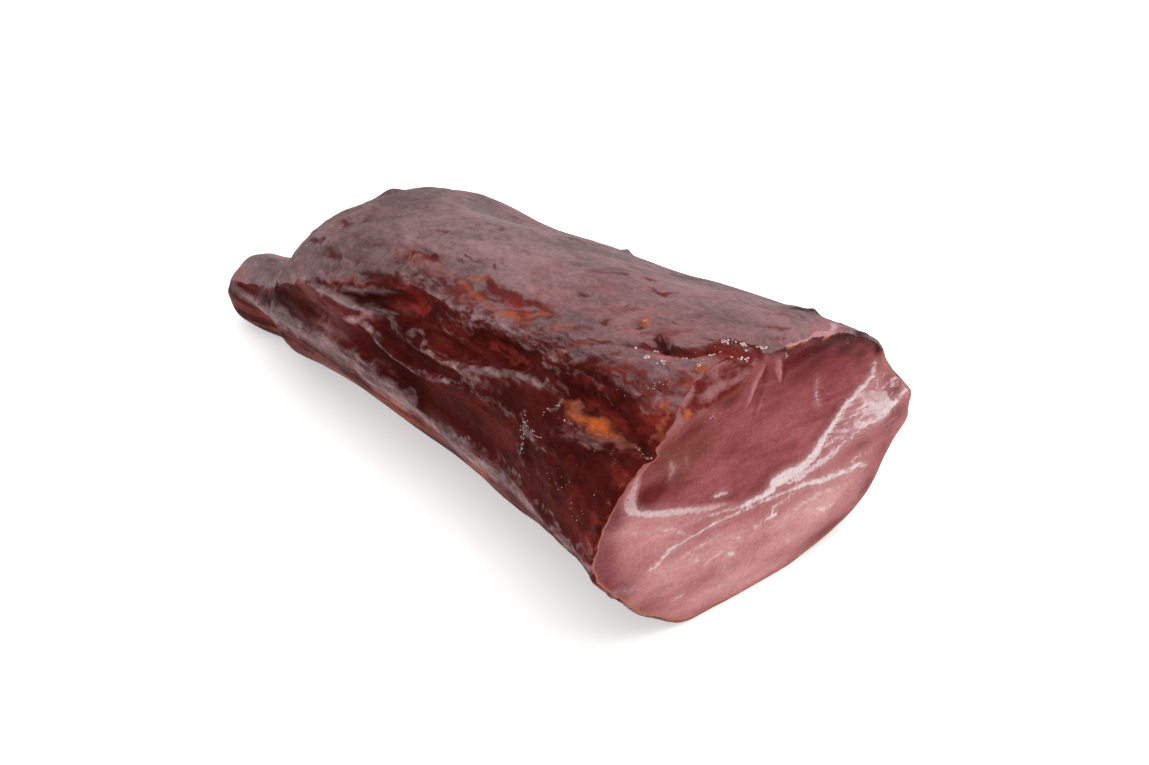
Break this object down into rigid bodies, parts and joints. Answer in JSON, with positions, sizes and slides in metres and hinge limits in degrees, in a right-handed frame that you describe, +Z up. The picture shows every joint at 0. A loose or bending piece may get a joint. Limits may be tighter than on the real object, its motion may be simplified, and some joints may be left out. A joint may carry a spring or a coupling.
{
  "type": "smoked pork neck",
  "caption": "Half of a boneless smoked pork neck, cut straight across at the near end and tapering to a short tail at the far end, resting on its flat underside.",
  "frame": {"origin": "centre of the bounding box at the level the meat rests on", "axes": "+X out of the straight cut, along the length; -Y towards the dark folded side; +Z up"},
  "size_m": [0.256, 0.1314, 0.0853],
  "materials": {
    "smoked_meat": "dark smoked crust, slightly moist; the cut is pink lean meat with white fat seams"
  },
  "bodies": {
    "root": {"smoked_pork_neck": "smoked_meat"}
  },
  "joints": []
}
